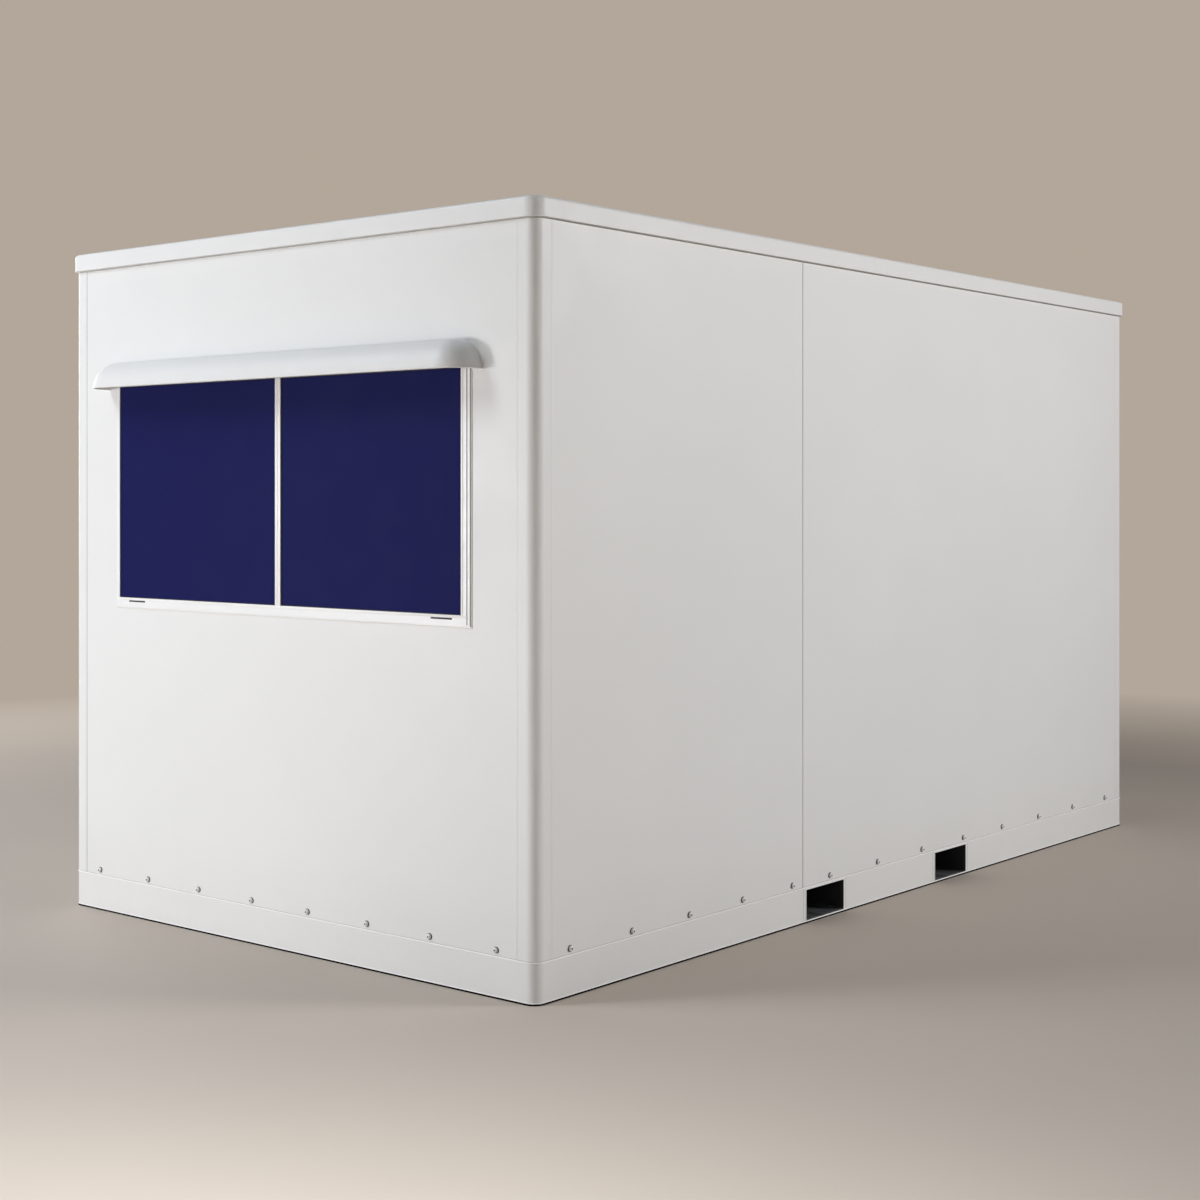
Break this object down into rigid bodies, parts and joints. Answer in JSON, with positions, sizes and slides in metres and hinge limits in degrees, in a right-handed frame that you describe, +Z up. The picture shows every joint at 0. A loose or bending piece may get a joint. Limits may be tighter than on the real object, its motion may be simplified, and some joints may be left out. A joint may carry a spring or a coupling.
{
  "type": "security guard booth",
  "caption": "Flat-roofed glass-fibre guard booth on a steel skid, with hooded sliding windows in its ends, a flush side door, rounded corner posts and fork pockets through its base.",
  "frame": {"origin": "on the ground, under the middle of the plan", "axes": "+Z up; +Y along the length; a window end faces -Y and another +Y; the plain long side faces +X and the door side -X"},
  "size_m": [2.204, 4.154, 2.305],
  "materials": {
    "gelcoat_white": "white glass-fibre gel coat, satin to glossy",
    "frame_white": "white powder-coated aluminium, satin",
    "navy_glass": "navy glazing that can't be seen through, satin",
    "skid_steel": "black painted steel, semi-matt",
    "deck_plywood": "phenolic-faced plywood, matt",
    "gasket_rubber": "grey rubber, matt",
    "door_hardware": "brushed stainless steel"
  },
  "bodies": {
    "root": {"skirt_front": "gelcoat_white", "skirt_back": "gelcoat_white", "skirt_right": "gelcoat_white", "skirt_left": "gelcoat_white", "pocket_frame_right_front": "gelcoat_white", "pocket_frame_right_rear": "gelcoat_white", "pocket_frame_left_front": "gelcoat_white", "pocket_frame_left_rear": "gelcoat_white", "corner_post_front_right": "gelcoat_white", "corner_post_front_left": "gelcoat_white", "corner_post_back_right": "gelcoat_white", "corner_post_back_left": "gelcoat_white", "front_wall": "gelcoat_white", "back_wall": "gelcoat_white", "right_wall_front": "gelcoat_white", "right_wall_rear": "gelcoat_white", "left_wall_front": "gelcoat_white", "left_wall_over_door": "gelcoat_white", "left_wall_middle": "gelcoat_white", "left_wall_rear": "gelcoat_white", "door_leaf": "gelcoat_white", "front_hood": "gelcoat_white", "back_hood": "gelcoat_white", "roof_panel": "gelcoat_white", "roof_cap": "gelcoat_white", "fork_tube_front": "skid_steel", "fork_tube_rear": "skid_steel", "skid_rail_right": "skid_steel", "skid_rail_left": "skid_steel", "skid_beam_front": "skid_steel", "skid_beam_back": "skid_steel", "cross_members": "skid_steel", "floor_deck": "deck_plywood", "door_frame": "frame_white", "front_window_frame": "frame_white", "front_window_stiles": "frame_white", "back_window_frame": "frame_white", "back_window_stiles": "frame_white", "door_hinges": "door_hardware", "door_latch": "door_hardware", "front_window_panes": "navy_glass", "back_window_panes": "navy_glass", "roof_gasket": "gasket_rubber"}
  },
  "joints": []
}
